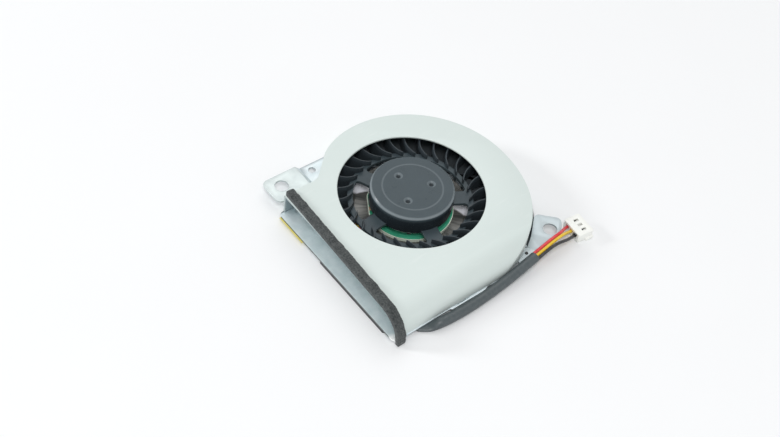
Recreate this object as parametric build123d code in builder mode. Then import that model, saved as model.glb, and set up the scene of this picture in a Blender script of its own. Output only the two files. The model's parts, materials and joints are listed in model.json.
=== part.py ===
from build123d import *
from math import atan, cos, degrees, exp, hypot, pi, radians, sin, tan
import os

# Laptop blower fan, in millimetres.
# The origin is on the rotor's axis, on the surface the fan lies on. +Z is up, the outlet faces -Y.

# Sheet metal housing
stand_height = 1.0          # underside of the base sheet above the surface
base_sheet = 0.5
channel_height = 5.0        # clear height of the air channel
cover_sheet = 0.5
base_top = stand_height + base_sheet
cover_under = base_top + channel_height
cover_top = cover_under + cover_sheet

# Plan of the snail: a straight duct wall, a slope at the tongue, and a spiral that opens clockwise
duct_left = -14.9
duct_right = 28.65
outlet_y = -25.9
tongue_y = -16.4
tongue_round = 3.0
spiral_start_angle = 205.0
spiral_start_radius = 23.2
spiral_power = 0.75
spiral_spans = 8
spiral_bulge = 1.15         # the spiral stands this far out beyond the duct, between 0 and the end angle
spiral_bulge_end = 70.0
block_reach = 60.0          # half length of a block that is only cut with
roll_width = 6.0            # rolled shoulder on the right side of the cover
roll_drop = 5.2
inlet_radius = 17.5
inlet_round = 0.2

# Base plate
lip_y = -27.3               # front edge of the lip under the outlet
lip_corner = 1.2
side_flange = 0.15          # the base stands this far out of the cover's right side
hold_flange = 0.5           # and this far out where it holds the sleeve back
hold_flange_front_y = -11.4
hold_flange_rear_y = -1.5
rear_flange_radius = 29.8
rear_flange_from = 31.0
rear_flange_to = 62.0
rear_flange_inner = 20.0
recess_floor_radius = 13.4  # drawn dish for the motor, seen from below
recess_slope = 1.0          # run of the dish's slanted wall
recess_lap = 0.4            # overlap of the dish with the flat sheet
wire_gate_angle = 262.0     # the wires leave the dish here
wire_gate_width = 3.4
wire_gate_start = 11.4
wire_gate_reach = 3.9

# Ears and holes
ear_hole_radius = 1.7
ear_underside = 2.5
left_ear_hole = (-20.6, -22.5)
left_ear_low_x = -24.0
left_ear_high_x = -16.4
left_ear_end_y = -26.2
left_ear_round = 1.6
left_ear_foot_y = -15.2     # the bend leaves the base here
left_ear_knee_y = -16.7     # and is level again here
web_hole = (-22.0, -12.7)
web_hole_radius = 0.9
right_ear_hole = (24.9, 22.4)
right_ear_angle = 122.0     # the ear points this way in plan
right_ear_foot = -0.5
right_ear_knee = 2.4
right_ear_round = 1.3
right_ear_outline = (
    (24.0, 10.5),
    (25.3, 15.0),
    (23.9, 17.2),
    (19.3, 22.5),
    (23.9, 27.0),
    (25.9, 25.3),
    (28.1, 21.3),
    (28.4, 16.8),
    (28.0, 10.5),
)

# Crimp tabs of the cover, through slots in the base
tab_width = 2.4
tab_below = 0.35
tab_angles = (186.0, 129.0, 70.0)
side_tab_y = -8.0
slot_clearance = 0.06

# Foam seals and films
foam_thickness = 1.1
foam_width = 2.3
foam_centre_y = -25.1
foam_skew = -1.8
foam_left = -15.1
foam_round = 0.9
lower_foam_left = 1.3
lower_foam_right = 25.0
lower_foam_back_y = -25.0
film = 0.1
edge_tape_left = -14.0
edge_tape_right = -5.0
edge_tape_back_y = -20.5
edge_tape_out = 0.35
wire_tape_x = 12.0
wire_tape_length = 5.0
wire_tape_half = 2.3

# Rotor
hub_radius = 10.0
hub_top = 8.2
hub_bottom = 3.2
hub_crown = 0.8
hub_bevel = 0.5
hub_groove_radius = 7.15
hub_groove_width = 0.35
hub_groove_depth = 0.12
dimple_circle = 4.6
dimple_radius = 0.9
dimple_depth = 0.3
dimple_angle = 68.0
spoke_count = 5
spoke_width = 3.9
spoke_angle = 59.0
spoke_top = 4.0
spoke_thickness = 0.8
hub_wall = 0.7
window_round_share = 0.216  # corner radius of a window, as a share of its depth
blade_count = 30
blade_thickness = 0.6
blade_inner_radius = 13.9
blade_outer_radius = 20.5
blade_sweep = 11.0          # degrees that a blade leans back on its way out
blade_lean_length = 1.5
blade_phase = 5.0
blade_bottom = 2.2
blade_root_top = 5.3
blade_tip_top = 6.0
blade_root_run = 0.4        # level top at the root, then a slope, then level again
blade_slope_run = 3.5
ring_inset = 0.2            # the ring starts this far inside the blades' roots
ring_lap = 1.1              # and carries this much of each blade
ring_inner_radius = blade_inner_radius - ring_inset
ring_outer_radius = blade_inner_radius + ring_lap
window_round = window_round_share * (ring_inner_radius - hub_radius)
yoke_wall = 0.5
yoke_bottom = 2.4
yoke_boss_radius = 1.8
yoke_boss_drop = 0.5
magnet_thickness = 0.95
magnet_height = 3.7
magnet_lift = 0.1           # magnet above the yoke's rim
shaft_radius = 0.75

# Bearing
bearing_clearance = 0.04
bearing_outer_radius = 1.8
holder_wall = 0.6
holder_floor = 0.4
holder_shoulder_radius = 2.9
holder_shoulder = 2.3       # the stator sits on this height
holder_top = 5.4
thrust_pad_height = 0.3
retainer_height = 0.2
bearing_bottom = 0.9

# Stator
pole_count = 4
pole_width = 1.4
pole_gap = 2.2
pole_shoe_thickness = 0.8
air_gap = 0.35
stator_yoke_radius = 3.7
stack_height = 2.2
insulator_thickness = 0.3
coil_inner_gap = 0.3        # winding clear of the stator's middle
coil_outer_gap = 0.4        # and of its shoes
coil_build = 0.8            # thickness of the winding beside a pole
coil_rise = 0.55            # thickness of the winding above and below it
coil_round = 0.5

# Circuit board. A place on it is a distance in from its edge, and an angle.
board_overhang = 0.5        # the board reaches this far out from under the hub
board_radius = hub_radius + board_overhang
board_thickness = 0.8
board_hole_gap = 0.15
board_notch = 0.5
board_flat_angle = 238.0    # one side of the board is cut straight
board_flat_cut = 0.6
chip_size = (2.9, 2.5, 0.6)
chip_place = (2.9, 200.0)
hall_size = (1.6, 1.2, 0.5)
hall_place = (2.9, 45.0)
small_part_size = (1.0, 0.5, 0.4)
capacitor_places = ((3.1, 150.0), (0.95, 243.0))
resistor_places = ((3.3, 100.0), (3.3, 112.0), (1.9, 320.0))
solder_radius = 0.42
solder_place = 2.1

# Lead
wire_radius = 0.375
wire_pitch = 0.85
wire_over_board = 0.005
sleeve_radius = 1.25
sleeve_flat_width = 2.7     # the sleeve is pressed flat where it comes out from under the base
sleeve_flat_height = 0.92
connector_width = 6.0
connector_length = 4.4
connector_height = 2.5
contact_pitch = 1.5
connector_rear = (27.3, 27.4)
connector_angle = 84.0      # the plug's nose points this way in plan
contact_width = 1.0
contact_height = 1.1
contact_length = 2.6
contact_setback = 1.0       # front of a contact behind the plug's nose
contact_level = 1.3
contact_bore = 0.5
contact_clearance = 0.03
plug_corner = 0.3
plug_nose_wall = 0.8
plug_pin_opening = 0.7
plug_window_length = 1.3
plug_window_width = 0.75
plug_window_place = 2.5
plug_rib = 0.4
glue_place = (26.5, 13.7)
glue_radius = 0.4


def polar(radius, angle):
    return (radius * cos(radians(angle)), radius * sin(radians(angle)))


def spiral_point(angle, inset=0):
    share = (1 - angle / spiral_start_angle) ** spiral_power
    bulge = spiral_bulge * sin(pi * min(angle / spiral_bulge_end, 1)) ** 2
    return polar(spiral_start_radius + (duct_right - spiral_start_radius) * share + bulge - inset, angle)


def bent_sheet(start, foot, knee, end, low, high, thickness):
    """Outline of a sheet that steps up from one level to another, as (distance, height)."""
    shift = thickness * tan(atan((high - low) / (knee - foot)) / 2)
    under = [(start, low), (foot, low), (knee, high), (end, high)]
    over = [
        (end, high + thickness),
        (knee - shift, high + thickness),
        (foot - shift, low + thickness),
        (start, low + thickness),
    ]
    return under + over


def route_radii(points):
    """Largest arcs that fit a route's corners, each tangent to both of its runs."""
    radii = []
    for before, corner, after in zip(points, points[1:], points[2:]):
        run_in = Vector(*corner) - Vector(*before)
        run_out = Vector(*after) - Vector(*corner)
        shorter = min(run_in.length, run_out.length)
        radii.append(0.45 * shorter / tan(radians(run_in.get_angle(run_out) / 2)))
    return radii


def round_route(name, points, radius):
    """A round cord along straight runs joined by tangent arcs."""
    radii = route_radii(points)
    path = FilletPolyline(*points, radius=radii)
    with BuildPart() as cord:
        with BuildSketch(Plane(path @ 0, z_dir=path % 0)):
            Circle(radius)
        sweep(path=path)
    length = path.length
    print(name, "length", round(length, 2), "smallest radius", round(min(radii), 2))
    print("  volume", round(cord.part.volume, 2), "section x length", round(pi * radius**2 * length, 2))
    return cord.part


def snail_plan(inset, front):
    """Plan outline of the cover, moved in by an inset, open to the front as far as asked."""
    tongue = (duct_left + inset, tongue_y + 0.4 * inset)
    with BuildSketch(mode=Mode.PRIVATE) as plan:
        with BuildLine():
            duct_wall = Line((duct_left + inset, front), tongue)
            angles = [spiral_start_angle * (1 - i / spiral_spans) for i in range(spiral_spans + 1)]
            spiral = Spline([spiral_point(angle, inset) for angle in angles])
            Line(duct_wall @ 1, spiral @ 0)
            side = Line(spiral @ 1, (duct_right - inset, front))
            Line(side @ 1, duct_wall @ 0)
        make_face()
        fillet(plan.vertices().sort_by_distance(tongue)[0], tongue_round + inset)
    return plan.sketch


def roll_block(inset, top, bottom):
    """A long block with the cover's section across the duct, flat on top and rolled down on the right."""
    right = duct_right - inset
    with BuildSketch(Plane.XZ) as section:
        with BuildLine():
            crown = Line((-block_reach, top), (duct_right - roll_width, top))
            shoulder = EllipticalCenterArc(
                (duct_right - roll_width, cover_top - roll_drop),
                roll_width - inset,
                roll_drop - (cover_top - top),
                start_angle=0,
                arc_size=90,
            )
            skirt = Line((right, cover_top - roll_drop), (right, bottom))
            foot = Line(skirt @ 1, (-block_reach, bottom))
            Line(foot @ 1, crown @ 0)
        make_face()
    return extrude(section.sketch, amount=block_reach, dir=(0, 1, 0), both=True, mode=Mode.PRIVATE)


def crimp_boxes(margin, height):
    """The crimp tabs as boxes that hang from the wall's lower edge."""
    size = (cover_sheet + 2 * margin, tab_width + 2 * margin, height)
    middle = base_top - height / 2
    with BuildPart() as tabs:
        for angle in tab_angles:
            reach = hypot(*spiral_point(angle)) - cover_sheet / 2
            with Locations(Pos(0, 0, middle) * Rot(0, 0, angle) * Pos(reach, 0, 0)):
                Box(*size)
        with Locations((duct_right - cover_sheet / 2, side_tab_y, middle)):
            Box(*size)
    return tabs.part


with BuildPart() as channel:
    with BuildSketch(Plane.XY.offset(base_top)):
        add(snail_plan(cover_sheet, outlet_y - 2))
    extrude(amount=channel_height)
    add(roll_block(cover_sheet, cover_under, base_top), mode=Mode.INTERSECT)
tab_height = base_sheet + tab_below
with BuildPart() as cover:
    with BuildSketch(Plane.XY.offset(base_top)):
        add(snail_plan(0, outlet_y))
    extrude(amount=cover_top - base_top)
    add(roll_block(0, cover_top, base_top), mode=Mode.INTERSECT)
    add(channel.part, mode=Mode.SUBTRACT)
    with Locations((0, 0, cover_top)):
        Hole(inlet_radius, depth=cover_sheet + 1)
    inlet_edges = cover.edges().filter_by(GeomType.CIRCLE).sort_by(SortBy.RADIUS)[-2:]
    fillet(inlet_edges.sort_by(Axis.Z)[-1], inlet_round)
    add(crimp_boxes(0, tab_height))
cover.part.label = "cover"

# Base plate: flat sheet, motor dish, lip, flanges and ears
with BuildPart() as left_ear:
    with BuildSketch(Plane.YZ.offset(left_ear_low_x)):
        with BuildLine():
            left_steps = bent_sheet(
                -left_ear_foot_y - 2,
                -left_ear_foot_y,
                -left_ear_knee_y,
                -left_ear_end_y,
                stand_height,
                ear_underside,
                base_sheet,
            )
            Polyline(*[(-s, z) for s, z in left_steps], close=True)
        make_face()
    extrude(amount=left_ear_high_x - left_ear_low_x)
    with BuildSketch(Plane.XY):
        with BuildLine():
            Polyline(
                (left_ear_low_x, left_ear_end_y),
                (left_ear_high_x, left_ear_end_y),
                (left_ear_high_x, left_ear_knee_y - 1.0),
                (left_ear_high_x - 2.6, left_ear_foot_y),
                (left_ear_high_x - 2.6, left_ear_foot_y + 2),
                (left_ear_low_x, left_ear_foot_y + 2),
                close=True,
            )
        make_face()
        fillet(vertices().group_by(Axis.Y)[0], left_ear_round)
    extrude(amount=cover_top, mode=Mode.INTERSECT)

ear_direction = Vector(*polar(1, right_ear_angle), 0)
with BuildPart() as right_ear:
    with BuildSketch(Plane((0, 0, 0), x_dir=ear_direction, z_dir=ear_direction.cross(Vector(0, 0, 1)))):
        with BuildLine():
            right_steps = bent_sheet(
                right_ear_foot - 6,
                right_ear_foot,
                right_ear_knee,
                right_ear_knee + 14,
                stand_height,
                ear_underside,
                base_sheet,
            )
            Polyline(*right_steps, close=True)
        make_face()
    extrude(amount=45)
    with BuildSketch(Plane.XY):
        with BuildLine():
            Polyline(*right_ear_outline, close=True)
        make_face()
        fillet(vertices().group_by(Axis.Y)[-1], right_ear_round)
        fillet(vertices().group_by(Axis.X)[0], right_ear_round)
    extrude(amount=cover_top, mode=Mode.INTERSECT)

recess_edge_radius = recess_floor_radius + recess_slope
with BuildPart() as base_plate:
    with BuildSketch(Plane.XY.offset(stand_height)):
        add(snail_plan(0, outlet_y))
        # lip in front of the outlet and the flange along the right side
        flange_x = duct_right + side_flange
        with BuildLine():
            Polyline(
                (duct_left, outlet_y + 2),
                (duct_left, lip_y),
                (flange_x, lip_y),
                (flange_x, hold_flange_front_y),
                (duct_right + hold_flange, hold_flange_front_y + hold_flange - side_flange),
                (duct_right + hold_flange, hold_flange_rear_y),
                (duct_right - 1, 2.5),
                (0, 2.5),
                close=True,
            )
        make_face()
        lip_corners = vertices().group_by(Axis.Y)[0]
        fillet(lip_corners, lip_corner)
        # web between the spiral and the left ear
        with BuildLine():
            Polyline(
                (left_ear_low_x, -5.0),
                (left_ear_low_x, left_ear_foot_y + 1),
                (left_ear_low_x + 0.9, left_ear_foot_y),
                (left_ear_high_x - 2.6, left_ear_foot_y),
                (duct_left + 1.5, tongue_y),
                (duct_left + 1.5, -5.0),
                close=True,
            )
        make_face()
        # flange behind the right ear
        with BuildLine():
            RadiusArc(
                polar(rear_flange_radius, rear_flange_to),
                polar(rear_flange_radius, rear_flange_from),
                rear_flange_radius,
            )
            Line(polar(rear_flange_radius, rear_flange_from), polar(rear_flange_inner, rear_flange_from))
            Line(polar(rear_flange_inner, rear_flange_from), polar(rear_flange_inner, rear_flange_to))
            Line(polar(rear_flange_inner, rear_flange_to), polar(rear_flange_radius, rear_flange_to))
        make_face()
        Circle(recess_edge_radius - 0.05, mode=Mode.SUBTRACT)
    extrude(amount=base_sheet)
    add(left_ear.part)
    add(right_ear.part)
    ear_top = ear_underside + base_sheet
    with Locations((*left_ear_hole, ear_top), (*right_ear_hole, ear_top)):
        Hole(ear_hole_radius, depth=base_sheet + 0.2)
    with Locations((*web_hole, base_top)):
        Hole(web_hole_radius, depth=base_sheet + 0.2)
    with BuildSketch(Plane.XZ):
        with BuildLine():
            Polyline(
                (0, 0),
                (recess_floor_radius, 0),
                (recess_edge_radius, stand_height),
                (recess_edge_radius + recess_lap, stand_height),
                (recess_edge_radius + recess_lap, base_top),
                (recess_edge_radius - 0.3, base_top),
                (recess_floor_radius - 0.3, base_sheet),
                (0, base_sheet),
                close=True,
            )
        make_face()
    revolve(axis=Axis.Z)
    Hole(bearing_outer_radius + holder_wall)
    add(crimp_boxes(slot_clearance, 3), mode=Mode.SUBTRACT)
    gate_middle = wire_gate_start + wire_gate_reach / 2
    with Locations(Rot(0, 0, wire_gate_angle) * Pos(gate_middle, 0, base_top)):
        Box(wire_gate_reach, wire_gate_width, 2 * (base_top - base_sheet), mode=Mode.SUBTRACT)
base_plate.part.label = "base_plate"

# Foam seals and films
with BuildPart() as outlet_foam:
    add(roll_block(-foam_thickness, cover_top + foam_thickness, base_top))
    foam_length = duct_right + 3 * foam_thickness - foam_left
    with BuildSketch(Plane((foam_left + foam_length / 2, foam_centre_y, 0)).rotated((0, 0, foam_skew))):
        Rectangle(foam_length, foam_width)
        fillet(vertices().group_by(Axis.X)[0], foam_round)
    extrude(amount=cover_top + 2 * foam_thickness, mode=Mode.INTERSECT)
    add(roll_block(0, cover_top, base_top - 1), mode=Mode.SUBTRACT)
outlet_foam.part.label = "outlet_foam"

with BuildPart() as lower_foam:
    with BuildSketch():
        with Locations((lower_foam_left, lip_y + film)):
            Rectangle(
                lower_foam_right - lower_foam_left,
                lower_foam_back_y - lip_y - film,
                align=(Align.MIN, Align.MIN),
            )
        fillet(vertices(), foam_round / 2)
    extrude(amount=stand_height)
lower_foam.part.label = "lower_foam"

with BuildPart() as edge_tape:
    with BuildSketch(Plane.XY.offset(stand_height)):
        with Locations((edge_tape_left, lip_y - edge_tape_out)):
            Rectangle(
                edge_tape_right - edge_tape_left,
                edge_tape_back_y - lip_y + edge_tape_out,
                align=(Align.MIN, Align.MIN),
            )
    extrude(amount=-film)
edge_tape.part.label = "edge_tape"

# Bearing, pressed into the motor dish
holder_radius = bearing_outer_radius + holder_wall
shaft_bore = shaft_radius + bearing_clearance
with BuildPart() as bearing_holder:
    with BuildSketch(Plane.XZ):
        with BuildLine():
            Polyline(
                (0, 0),
                (holder_radius, 0),
                (holder_radius, base_sheet),
                (holder_shoulder_radius, base_sheet),
                (holder_shoulder_radius, holder_shoulder),
                (holder_radius, holder_shoulder),
                (holder_radius, holder_top),
                (bearing_outer_radius, holder_top),
                (bearing_outer_radius, holder_floor),
                (0, holder_floor),
                close=True,
            )
        make_face()
    revolve(axis=Axis.Z)
bearing_holder.part.label = "bearing_holder"

with BuildPart() as thrust_pad:
    with BuildSketch(Plane.XY.offset(holder_floor)):
        Circle(bearing_outer_radius)
    extrude(amount=thrust_pad_height)
thrust_pad.part.label = "thrust_pad"

bearing_top = holder_top - retainer_height
with BuildPart() as sleeve_bearing:
    with BuildSketch(Plane.XY.offset(bearing_bottom)):
        Circle(bearing_outer_radius)
        Circle(shaft_bore, mode=Mode.SUBTRACT)
    extrude(amount=bearing_top - bearing_bottom)
sleeve_bearing.part.label = "sleeve_bearing"

with BuildPart() as oil_retainer:
    with BuildSketch(Plane.XY.offset(bearing_top)):
        Circle(bearing_outer_radius)
        Circle(shaft_bore + bearing_clearance, mode=Mode.SUBTRACT)
    extrude(amount=retainer_height)
oil_retainer.part.label = "oil_retainer"

# Circuit board in the dish, on a film, with its parts
board_bottom = base_sheet + film
board_top = board_bottom + board_thickness
board_hole = holder_shoulder_radius + board_hole_gap


def board_outline():
    with BuildSketch(mode=Mode.PRIVATE) as outline:
        Circle(board_radius)
        Circle(board_hole, mode=Mode.SUBTRACT)
        with PolarLocations(board_radius, 1, start_angle=board_flat_angle):
            Rectangle(2 * board_flat_cut, 2 * board_radius, mode=Mode.SUBTRACT)
        with PolarLocations(board_radius, 1, start_angle=wire_gate_angle):
            Rectangle(2 * board_notch, wire_gate_width, mode=Mode.SUBTRACT)
    return outline.sketch


with BuildPart() as board_insulator:
    with BuildSketch(Plane.XY.offset(base_sheet)):
        add(board_outline())
    extrude(amount=film)
board_insulator.part.label = "board_insulator"

with BuildPart() as circuit_board:
    with BuildSketch(Plane.XY.offset(board_bottom)):
        add(board_outline())
    extrude(amount=board_thickness)
circuit_board.part.label = "circuit_board"


def board_part(name, size, place):
    inwards, angle = place
    with BuildPart() as chip:
        with Locations(Pos(*polar(board_radius - inwards, angle), board_top) * Rot(0, 0, angle + 90)):
            Box(*size, align=(Align.CENTER, Align.CENTER, Align.MIN))
        chamfer(chip.edges().group_by(Axis.Z)[-1], size[2] / 8)
    chip.part.label = name
    return chip.part


board_parts = [
    board_part("driver_chip", chip_size, chip_place),
    board_part("hall_sensor", hall_size, hall_place),
]
for number, place in enumerate(capacitor_places, 1):
    board_parts.append(board_part(f"chip_capacitor_{number}", small_part_size, place))
for number, place in enumerate(resistor_places, 1):
    board_parts.append(board_part(f"chip_resistor_{number}", small_part_size, place))

# Stator: laminated core between two insulators, four windings
insulator_bottom = holder_shoulder
stack_bottom = insulator_bottom + insulator_thickness
stack_top = stack_bottom + stack_height
yoke_radius = hub_radius - hub_wall
magnet_radius = yoke_radius - yoke_wall
shoe_radius = magnet_radius - magnet_thickness - air_gap


def stator_plate(name, bottom, height):
    with BuildPart() as plate:
        with BuildSketch(Plane.XY.offset(bottom)):
            Circle(shoe_radius)
            Circle(shoe_radius - pole_shoe_thickness, mode=Mode.SUBTRACT)
            with PolarLocations(shoe_radius, pole_count, start_angle=180 / pole_count):
                Rectangle(4 * pole_shoe_thickness, pole_gap, mode=Mode.SUBTRACT)
            with PolarLocations((shoe_radius - pole_shoe_thickness / 2) / 2, pole_count):
                Rectangle(shoe_radius - pole_shoe_thickness / 2, pole_width)
            Circle(stator_yoke_radius)
            Circle(holder_radius, mode=Mode.SUBTRACT)
        extrude(amount=height)
    plate.part.label = name
    return plate.part


stator_parts = [
    stator_plate("lower_insulator", insulator_bottom, insulator_thickness),
    stator_plate("stator_core", stack_bottom, stack_height),
    stator_plate("upper_insulator", stack_top, insulator_thickness),
]
bobbin_height = stack_height + 2 * insulator_thickness
coil_inner_radius = stator_yoke_radius + coil_inner_gap
coil_length = shoe_radius - pole_shoe_thickness - coil_outer_gap - coil_inner_radius
for number in range(pole_count):
    turn = Rot(0, 0, 360 / pole_count * number)
    coil_middle = Pos(coil_inner_radius + coil_length / 2, 0, insulator_bottom + bobbin_height / 2)
    with BuildPart() as coil:
        with Locations(turn * coil_middle):
            Box(coil_length, pole_width + 2 * coil_build, bobbin_height + 2 * coil_rise)
        long_way = Axis((0, 0, 0), (*polar(1, 360 / pole_count * number), 0))
        fillet(coil.edges().filter_by(long_way), coil_round)
        with Locations(turn * coil_middle):
            Box(coil_length + 1, pole_width, bobbin_height, mode=Mode.SUBTRACT)
    coil.part.label = f"coil_{number + 1}"
    stator_parts.append(coil.part)

# Rotor: moulded impeller on a steel yoke with a ring magnet and a shaft
with BuildPart() as blade:
    blade_reach = blade_outer_radius - blade_inner_radius
    blade_radii = [blade_inner_radius + share * blade_reach for share in (0, 0.106, 0.258, 0.5, 1)]

    def blade_side(radius, half):
        lean = blade_sweep * (1 - exp(-(radius - blade_inner_radius) / blade_lean_length))
        slope = radius * radians(blade_sweep) / blade_lean_length * exp(
            -(radius - blade_inner_radius) / blade_lean_length
        )
        along = hypot(1, slope)
        return polar(radius - half * slope / along, lean + degrees(half / along / radius))

    with BuildSketch(Plane.XY.offset(blade_bottom)):
        with BuildLine():
            front = Spline(*[blade_side(r, blade_thickness / 2) for r in blade_radii])
            back = Spline(*[blade_side(r, -blade_thickness / 2) for r in blade_radii])
            Line(front @ 0, back @ 0)
            Line(front @ 1, back @ 1)
        make_face()
    extrude(amount=blade_tip_top - blade_bottom)
    with BuildSketch(Plane.XZ):
        with BuildLine():
            Polyline(
                (blade_inner_radius - 2, blade_bottom),
                (blade_outer_radius + 2, blade_bottom),
                (blade_outer_radius + 2, blade_tip_top),
                (blade_inner_radius + blade_root_run + blade_slope_run, blade_tip_top),
                (blade_inner_radius + blade_root_run, blade_root_top),
                (blade_inner_radius - 2, blade_root_top),
                close=True,
            )
        make_face()
    revolve(axis=Axis.Z, mode=Mode.INTERSECT)

spoke_bottom = spoke_top - spoke_thickness
with BuildPart() as impeller:
    with BuildSketch(Plane.XZ):
        with BuildLine():
            Polyline(
                (0, hub_top),
                (hub_radius, hub_top),
                (hub_radius, hub_bottom),
                (hub_radius - hub_wall, hub_bottom),
                (hub_radius - hub_wall, hub_top - hub_crown),
                (0, hub_top - hub_crown),
                close=True,
            )
        make_face()
    revolve(axis=Axis.Z)
    chamfer(impeller.edges().filter_by(GeomType.CIRCLE).group_by(Axis.Z)[-1], hub_bevel)
    with BuildSketch(Plane.XY.offset(spoke_bottom)):
        Circle(ring_outer_radius)
        Circle(hub_radius - hub_wall / 2, mode=Mode.SUBTRACT)
    extrude(amount=spoke_thickness)
    with BuildSketch(Plane.XY.offset(spoke_bottom)):
        Circle(ring_inner_radius)
        Circle(hub_radius, mode=Mode.SUBTRACT)
        with PolarLocations((hub_radius + ring_inner_radius) / 2, spoke_count, start_angle=spoke_angle):
            Rectangle(ring_inner_radius - hub_radius + 3, spoke_width, mode=Mode.SUBTRACT)
        fillet(vertices(), window_round)
    extrude(amount=spoke_thickness, mode=Mode.SUBTRACT)
    with PolarLocations(0, blade_count, start_angle=blade_phase):
        add(blade.part)
    with BuildSketch(Plane.XY.offset(hub_top - hub_groove_depth)):
        Circle(hub_groove_radius + hub_groove_width / 2)
        Circle(hub_groove_radius - hub_groove_width / 2, mode=Mode.SUBTRACT)
    extrude(amount=hub_groove_depth, mode=Mode.SUBTRACT)
    dimple_ball = (dimple_radius**2 + dimple_depth**2) / (2 * dimple_depth)
    with Locations((0, 0, hub_top - dimple_depth + dimple_ball)):
        with PolarLocations(dimple_circle, 3, start_angle=dimple_angle):
            Sphere(dimple_ball, mode=Mode.SUBTRACT)
impeller.part.label = "impeller"

yoke_top = hub_top - hub_crown
with BuildPart() as rotor_yoke:
    with BuildSketch(Plane.XZ):
        with BuildLine():
            Polyline(
                (shaft_radius, yoke_top),
                (yoke_radius, yoke_top),
                (yoke_radius, yoke_bottom),
                (yoke_radius - yoke_wall, yoke_bottom),
                (yoke_radius - yoke_wall, yoke_top - yoke_wall),
                (yoke_boss_radius, yoke_top - yoke_wall),
                (yoke_boss_radius, yoke_top - yoke_wall - yoke_boss_drop),
                (shaft_radius, yoke_top - yoke_wall - yoke_boss_drop),
                close=True,
            )
        make_face()
    revolve(axis=Axis.Z)
rotor_yoke.part.label = "rotor_yoke"

with BuildPart() as magnet_ring:
    with BuildSketch(Plane.XY.offset(yoke_bottom + magnet_lift)):
        Circle(magnet_radius)
        Circle(magnet_radius - magnet_thickness, mode=Mode.SUBTRACT)
    extrude(amount=magnet_height)
magnet_ring.part.label = "magnet_ring"

shaft_bottom = holder_floor + thrust_pad_height + bearing_clearance
with BuildPart() as rotor_shaft:
    with BuildSketch(Plane.XY.offset(shaft_bottom)):
        Circle(shaft_radius)
    extrude(amount=yoke_top - shaft_bottom)
    chamfer(rotor_shaft.edges().group_by(Axis.Z)[0], shaft_radius / 3)
rotor_shaft.part.label = "rotor_shaft"

# Lead: three wires from the board, under the base, through a sleeve, to a plug
nose = polar(1, connector_angle)
plug_plane = Plane((*connector_rear, 0), x_dir=(*nose, 0), z_dir=(0, 0, 1))
way_x = Vector(*nose, 0)
way_y = Vector(-nose[1], nose[0], 0)


def plug_point(way, depth):
    place = Vector(*connector_rear, contact_level) + way_x * depth + way_y * way * contact_pitch
    return (place.X, place.Y, place.Z)


def beside(points, offset):
    """The route that runs this far to the left of another, level with it."""
    lefts = []
    for start, end in zip(points, points[1:]):
        run = Vector(end[0] - start[0], end[1] - start[1], 0).normalized()
        lefts.append(Vector(-run.Y, run.X, 0))
    shifted = []
    for point, before, after in zip(points, lefts[:1] + lefts, lefts + lefts[-1:]):
        corner = Vector(*point) + (before + after) * (offset / (1 + before.dot(after)))
        shifted.append((corner.X, corner.Y, corner.Z))
    return shifted


wire_level = board_top + wire_radius + wire_over_board
under_level = stand_height / 2
solder_reach = board_radius - solder_place
flat_start = Vector(27.9, -19.85, under_level)
flat_end = Vector(29.15, -18.3, under_level)
inner_route = [
    (*polar(solder_reach + solder_radius, wire_gate_angle), wire_level),
    (*polar(wire_gate_start, wire_gate_angle), wire_level),
    (*polar(wire_gate_start + wire_gate_reach, wire_gate_angle), under_level),
    (-0.6, -19.3, under_level),
    (2.2, -21.9, under_level),
    (7.0, -22.6, under_level),
    (25.7, -22.6, under_level),
    tuple(flat_start),
]
sleeve_route = [
    (30.4, -15.2, sleeve_radius),
    (30.7, -10.0, sleeve_radius),
    (30.6, -4.9, sleeve_radius + 0.05),
    (30.3, 0.2, 1.5),
    (29.95, 5.0, 1.9),
    (29.6, 9.4, 2.4),
    (29.1, 13.7, 2.9),
]
plug_end = connector_length - contact_length - contact_setback
red_route = [
    (28.25, 13.7, 2.95),
    (28.0, 17.2, 3.4),
    (27.5, 20.6, 3.45),
    (27.3, 23.8, 3.5),
    plug_point(1, -0.6),
    plug_point(1, plug_end),
]
yellow_route = [
    (29.1, 13.75, 2.95),
    (28.8, 17.3, 3.45),
    (28.35, 20.7, 3.5),
    (28.0, 23.8, 3.3),
    plug_point(0, -0.6),
    plug_point(0, plug_end),
]
black_route = [
    (29.95, 13.8, 2.95),
    (29.5, 17.3, 3.35),
    (29.25, 20.6, 3.3),
    (29.5, 24.0, 2.7),
    plug_point(-1, -0.6),
    plug_point(-1, plug_end),
]

# the sleeve's pressed end, from under the base to its round length
round_start = Vector(*sleeve_route[0])
round_ahead = Vector(*sleeve_route[1]) - round_start
press = flat_end - flat_start
press_middle = Vector(29.85, -16.85, 0.6)
round_length = round_route("cable_sleeve", sleeve_route, sleeve_radius)
with BuildPart() as pressed_end:
    flat_half = (sleeve_flat_width / 2, sleeve_flat_height / 2)
    for place, ahead, half in (
        (flat_start, press, flat_half),
        (flat_end, press, flat_half),
        (press_middle, round_start - flat_end, (sleeve_flat_width / 2 - 0.05, 0.55)),
        (round_start, round_ahead, (sleeve_radius, sleeve_radius)),
    ):
        level_way = Vector(ahead.Y, -ahead.X, 0)
        with BuildSketch(Plane(place, x_dir=level_way, z_dir=Vector(ahead.X, ahead.Y, 0))):
            Ellipse(*half)
    loft()
    print("pressed end of the sleeve, volume", round(pressed_end.part.volume, 2))
    add(round_length)
cable_sleeve = pressed_end.part
cable_sleeve.label = "cable_sleeve"
wires = []
for name, way, route in (
    ("red_wire", 1, red_route),
    ("yellow_wire", 0, yellow_route),
    ("black_wire", -1, black_route),
):
    inner = round_route(name + " inside", beside(inner_route, way * wire_pitch), wire_radius)
    outer = round_route(name, route, wire_radius)
    wire = Compound(children=[inner, outer])
    wire.label = name
    wires.append(wire)

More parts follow.
